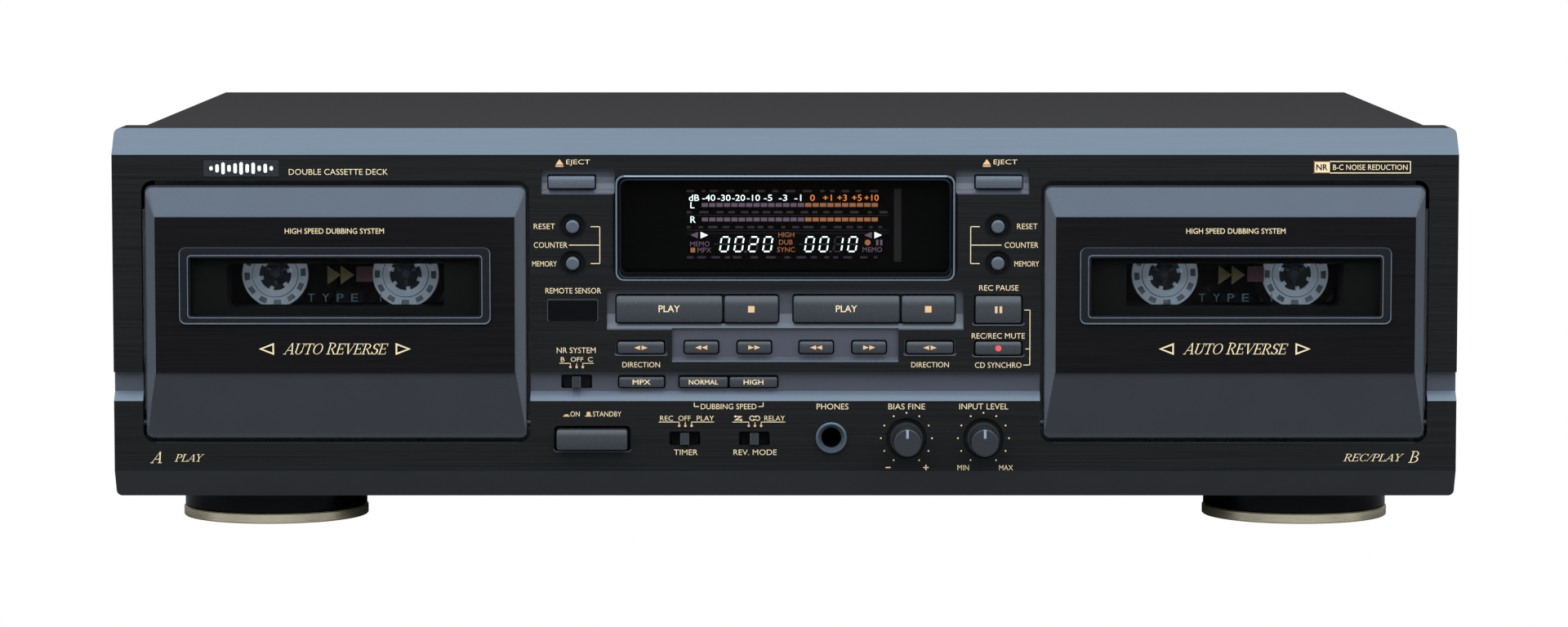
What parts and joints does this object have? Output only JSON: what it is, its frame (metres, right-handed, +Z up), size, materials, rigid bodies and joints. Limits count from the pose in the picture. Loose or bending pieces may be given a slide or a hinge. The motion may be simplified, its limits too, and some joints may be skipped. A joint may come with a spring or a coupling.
{
  "type": "double cassette deck",
  "caption": "Full-width hi-fi double cassette deck with hinged cassette doors, fluorescent display, push keys, slide switches and knobs.",
  "frame": {"origin": "centre of the bounding box's base, on the plane the feet stand on", "axes": "+X to the right seen from the front, -Y out of the front panel, +Z up"},
  "size_m": [0.434, 0.297, 0.1303],
  "materials": {
    "panel_black": "hairline-brushed black moulding",
    "door_grey": "satin dark grey moulding with a black brushed plate",
    "smoked_window": "smoked clear acrylic, glossy",
    "display_module": "glass vacuum-fluorescent tube on a board",
    "holder_black": "matte black",
    "key_grey": "satin dark grey",
    "knob_grey": "satin dark grey",
    "case_black": "textured matte black paint",
    "zinc_steel": "zinc-plated sheet",
    "rear_black": "matte black paint",
    "foot_black": "glossy black, rubber pad below",
    "gold_ring": "brushed pale gold",
    "board_green": "solder-masked boards with parts",
    "iron_core": "laminated core, taped coil",
    "jack_metal": "nickel plated",
    "socket_black": "dark plastic collar",
    "gland_black": "black",
    "screw_black": "blackened steel",
    "mech_steel": "pressed steel plate, plastic motor and belt",
    "spindle_black": "black acetal",
    "flywheel_steel": "turned steel",
    "head_metal": "plate with head and rubber rollers"
  },
  "bodies": {
    "case": {"chassis": "zinc_steel", "front_panel": "panel_black", "rear_panel": "rear_black", "top_cover": "case_black", "display_window": "smoked_window", "display_module": "display_module", "remote_window": "smoked_window", "phones_jack": "socket_black", "line_jacks": "jack_metal", "cord_gland": "gland_black", "feet": "foot_black", "foot_rings": "gold_ring", "screws": "screw_black", "transformer": "iron_core", "circuit_boards": "board_green", "mech_frame_a": "mech_steel", "mech_frame_b": "mech_steel"},
    "eject_button_a": {"eject_button_a": "key_grey"},
    "eject_button_b": {"eject_button_b": "key_grey"},
    "play_button_a": {"play_button_a": "key_grey"},
    "stop_button_a": {"stop_button_a": "key_grey"},
    "play_button_b": {"play_button_b": "key_grey"},
    "stop_button_b": {"stop_button_b": "key_grey"},
    "direction_button_a": {"direction_button_a": "key_grey"},
    "direction_button_b": {"direction_button_b": "key_grey"},
    "rewind_button_a": {"rewind_button_a": "key_grey"},
    "forward_button_a": {"forward_button_a": "key_grey"},
    "rewind_button_b": {"rewind_button_b": "key_grey"},
    "forward_button_b": {"forward_button_b": "key_grey"},
    "rec_pause_button": {"rec_pause_button": "key_grey"},
    "rec_mute_button": {"rec_mute_button": "key_grey"},
    "mpx_button": {"mpx_button": "key_grey"},
    "dub_normal_button": {"dub_normal_button": "key_grey"},
    "dub_high_button": {"dub_high_button": "key_grey"},
    "power_button": {"power_button": "key_grey"},
    "reset_button_a": {"reset_button_a": "key_grey"},
    "reset_button_b": {"reset_button_b": "key_grey"},
    "memory_button_a": {"memory_button_a": "key_grey"},
    "memory_button_b": {"memory_button_b": "key_grey"},
    "noise_reduction_switch": {"noise_reduction_switch": "key_grey"},
    "timer_switch": {"timer_switch": "key_grey"},
    "reverse_mode_switch": {"reverse_mode_switch": "key_grey"},
    "bias_knob": {"bias_knob": "knob_grey"},
    "level_knob": {"level_knob": "knob_grey"},
    "door_a": {"door_frame_a": "door_grey", "door_window_a": "smoked_window", "cassette_holder_a": "holder_black"},
    "spindle_left_a": {"spindle_left_a": "spindle_black"},
    "spindle_right_a": {"spindle_right_a": "spindle_black"},
    "capstan_left_a": {"capstan_left_a": "flywheel_steel"},
    "capstan_right_a": {"capstan_right_a": "flywheel_steel"},
    "head_carriage_a": {"head_carriage_a": "head_metal"},
    "door_b": {"door_frame_b": "door_grey", "door_window_b": "smoked_window", "cassette_holder_b": "holder_black"},
    "spindle_left_b": {"spindle_left_b": "spindle_black"},
    "spindle_right_b": {"spindle_right_b": "spindle_black"},
    "capstan_left_b": {"capstan_left_b": "flywheel_steel"},
    "capstan_right_b": {"capstan_right_b": "flywheel_steel"},
    "head_carriage_b": {"head_carriage_b": "head_metal"}
  },
  "joints": [
    {"name": "eject_button_a_push", "type": "slide", "parent": "case", "child": "eject_button_a", "axis": [0, 1, 0], "range_m": [0, 0.0015], "stiffness_N_per_m": 400, "springref_m": -0.0004},
    {"name": "eject_button_b_push", "type": "slide", "parent": "case", "child": "eject_button_b", "axis": [0, 1, 0], "range_m": [0, 0.0015], "stiffness_N_per_m": 400, "springref_m": -0.0004},
    {"name": "play_button_a_push", "type": "slide", "parent": "case", "child": "play_button_a", "axis": [0, 1, 0], "range_m": [0, 0.0015], "stiffness_N_per_m": 400, "springref_m": -0.0004},
    {"name": "stop_button_a_push", "type": "slide", "parent": "case", "child": "stop_button_a", "axis": [0, 1, 0], "range_m": [0, 0.0015], "stiffness_N_per_m": 400, "springref_m": -0.0004},
    {"name": "play_button_b_push", "type": "slide", "parent": "case", "child": "play_button_b", "axis": [0, 1, 0], "range_m": [0, 0.0015], "stiffness_N_per_m": 400, "springref_m": -0.0004},
    {"name": "stop_button_b_push", "type": "slide", "parent": "case", "child": "stop_button_b", "axis": [0, 1, 0], "range_m": [0, 0.0015], "stiffness_N_per_m": 400, "springref_m": -0.0004},
    {"name": "direction_button_a_push", "type": "slide", "parent": "case", "child": "direction_button_a", "axis": [0, 1, 0], "range_m": [0, 0.0015], "stiffness_N_per_m": 400, "springref_m": -0.0004},
    {"name": "direction_button_b_push", "type": "slide", "parent": "case", "child": "direction_button_b", "axis": [0, 1, 0], "range_m": [0, 0.0015], "stiffness_N_per_m": 400, "springref_m": -0.0004},
    {"name": "rewind_button_a_push", "type": "slide", "parent": "case", "child": "rewind_button_a", "axis": [0, 1, 0], "range_m": [0, 0.0015], "stiffness_N_per_m": 400, "springref_m": -0.0004},
    {"name": "forward_button_a_push", "type": "slide", "parent": "case", "child": "forward_button_a", "axis": [0, 1, 0], "range_m": [0, 0.0015], "stiffness_N_per_m": 400, "springref_m": -0.0004},
    {"name": "rewind_button_b_push", "type": "slide", "parent": "case", "child": "rewind_button_b", "axis": [0, 1, 0], "range_m": [0, 0.0015], "stiffness_N_per_m": 400, "springref_m": -0.0004},
    {"name": "forward_button_b_push", "type": "slide", "parent": "case", "child": "forward_button_b", "axis": [0, 1, 0], "range_m": [0, 0.0015], "stiffness_N_per_m": 400, "springref_m": -0.0004},
    {"name": "rec_pause_button_push", "type": "slide", "parent": "case", "child": "rec_pause_button", "axis": [0, 1, 0], "range_m": [0, 0.0015], "stiffness_N_per_m": 400, "springref_m": -0.0004},
    {"name": "rec_mute_button_push", "type": "slide", "parent": "case", "child": "rec_mute_button", "axis": [0, 1, 0], "range_m": [0, 0.0015], "stiffness_N_per_m": 400, "springref_m": -0.0004},
    {"name": "mpx_button_push", "type": "slide", "parent": "case", "child": "mpx_button", "axis": [0, 1, 0], "range_m": [0, 0.0015], "stiffness_N_per_m": 400, "springref_m": -0.0004},
    {"name": "dub_normal_button_push", "type": "slide", "parent": "case", "child": "dub_normal_button", "axis": [0, 1, 0], "range_m": [0, 0.0015], "stiffness_N_per_m": 400, "springref_m": -0.0004},
    {"name": "dub_high_button_push", "type": "slide", "parent": "case", "child": "dub_high_button", "axis": [0, 1, 0], "range_m": [0, 0.0015], "stiffness_N_per_m": 400, "springref_m": -0.0004},
    {"name": "power_button_push", "type": "slide", "parent": "case", "child": "power_button", "axis": [0, 1, 0], "range_m": [0, 0.0022], "stiffness_N_per_m": 400, "springref_m": -0.0004},
    {"name": "reset_button_a_push", "type": "slide", "parent": "case", "child": "reset_button_a", "axis": [0, 1, 0], "range_m": [0, 0.0015], "stiffness_N_per_m": 400, "springref_m": -0.0004},
    {"name": "reset_button_b_push", "type": "slide", "parent": "case", "child": "reset_button_b", "axis": [0, 1, 0], "range_m": [0, 0.0015], "stiffness_N_per_m": 400, "springref_m": -0.0004},
    {"name": "memory_button_a_push", "type": "slide", "parent": "case", "child": "memory_button_a", "axis": [0, 1, 0], "range_m": [0, 0.0015], "stiffness_N_per_m": 400, "springref_m": -0.0004},
    {"name": "memory_button_b_push", "type": "slide", "parent": "case", "child": "memory_button_b", "axis": [0, 1, 0], "range_m": [0, 0.0015], "stiffness_N_per_m": 400, "springref_m": -0.0004},
    {"name": "noise_reduction_switch_slide", "type": "slide", "parent": "case", "child": "noise_reduction_switch", "axis": [1, 0, 0], "range_m": [-0.0021, 0.0021]},
    {"name": "timer_switch_slide", "type": "slide", "parent": "case", "child": "timer_switch", "axis": [1, 0, 0], "range_m": [-0.0021, 0.0021]},
    {"name": "reverse_mode_switch_slide", "type": "slide", "parent": "case", "child": "reverse_mode_switch", "axis": [1, 0, 0], "range_m": [-0.0021, 0.0021]},
    {"name": "bias_knob_turn", "type": "hinge", "parent": "case", "child": "bias_knob", "pos_m": [0.0392, -0.1335, 0.0303], "axis": [0, -1, 0], "range_deg": [-150, 150]},
    {"name": "level_knob_turn", "type": "hinge", "parent": "case", "child": "level_knob", "pos_m": [0.0641, -0.1335, 0.0303], "axis": [0, -1, 0], "range_deg": [-150, 150]},
    {"name": "door_a_open", "type": "hinge", "parent": "case", "child": "door_a", "pos_m": [-0.145, -0.13, 0.035], "axis": [1, 0, 0], "range_deg": [0, 24]},
    {"name": "spindle_left_a_spin", "type": "hinge", "parent": "case", "child": "spindle_left_a", "pos_m": [-0.16625, -0.1035, 0.082], "axis": [0, -1, 0], "continuous": true},
    {"name": "spindle_right_a_spin", "type": "hinge", "parent": "case", "child": "spindle_right_a", "pos_m": [-0.12375, -0.1035, 0.082], "axis": [0, -1, 0], "continuous": true},
    {"name": "capstan_left_a_spin", "type": "hinge", "parent": "case", "child": "capstan_left_a", "pos_m": [-0.1715, -0.0905, 0.053], "axis": [0, -1, 0], "continuous": true},
    {"name": "capstan_right_a_spin", "type": "hinge", "parent": "case", "child": "capstan_right_a", "pos_m": [-0.1185, -0.0905, 0.053], "axis": [0, -1, 0], "continuous": true},
    {"name": "head_carriage_a_lift", "type": "slide", "parent": "case", "child": "head_carriage_a", "axis": [0, 0, 1], "range_m": [0, 0.008], "stiffness_N_per_m": 60, "springref_m": -0.004},
    {"name": "door_b_open", "type": "hinge", "parent": "case", "child": "door_b", "pos_m": [0.145, -0.13, 0.035], "axis": [1, 0, 0], "range_deg": [0, 24]},
    {"name": "spindle_left_b_spin", "type": "hinge", "parent": "case", "child": "spindle_left_b", "pos_m": [0.12375, -0.1035, 0.082], "axis": [0, -1, 0], "continuous": true},
    {"name": "spindle_right_b_spin", "type": "hinge", "parent": "case", "child": "spindle_right_b", "pos_m": [0.16625, -0.1035, 0.082], "axis": [0, -1, 0], "continuous": true},
    {"name": "capstan_left_b_spin", "type": "hinge", "parent": "case", "child": "capstan_left_b", "pos_m": [0.1185, -0.0905, 0.053], "axis": [0, -1, 0], "continuous": true},
    {"name": "capstan_right_b_spin", "type": "hinge", "parent": "case", "child": "capstan_right_b", "pos_m": [0.1715, -0.0905, 0.053], "axis": [0, -1, 0], "continuous": true},
    {"name": "head_carriage_b_lift", "type": "slide", "parent": "case", "child": "head_carriage_b", "axis": [0, 0, 1], "range_m": [0, 0.008], "stiffness_N_per_m": 60, "springref_m": -0.004}
  ],
  "couplings": [
    {"joint": "capstan_right_a_spin", "follows": "capstan_left_a_spin", "ratio": -1},
    {"joint": "capstan_right_b_spin", "follows": "capstan_left_b_spin", "ratio": -1}
  ]
}
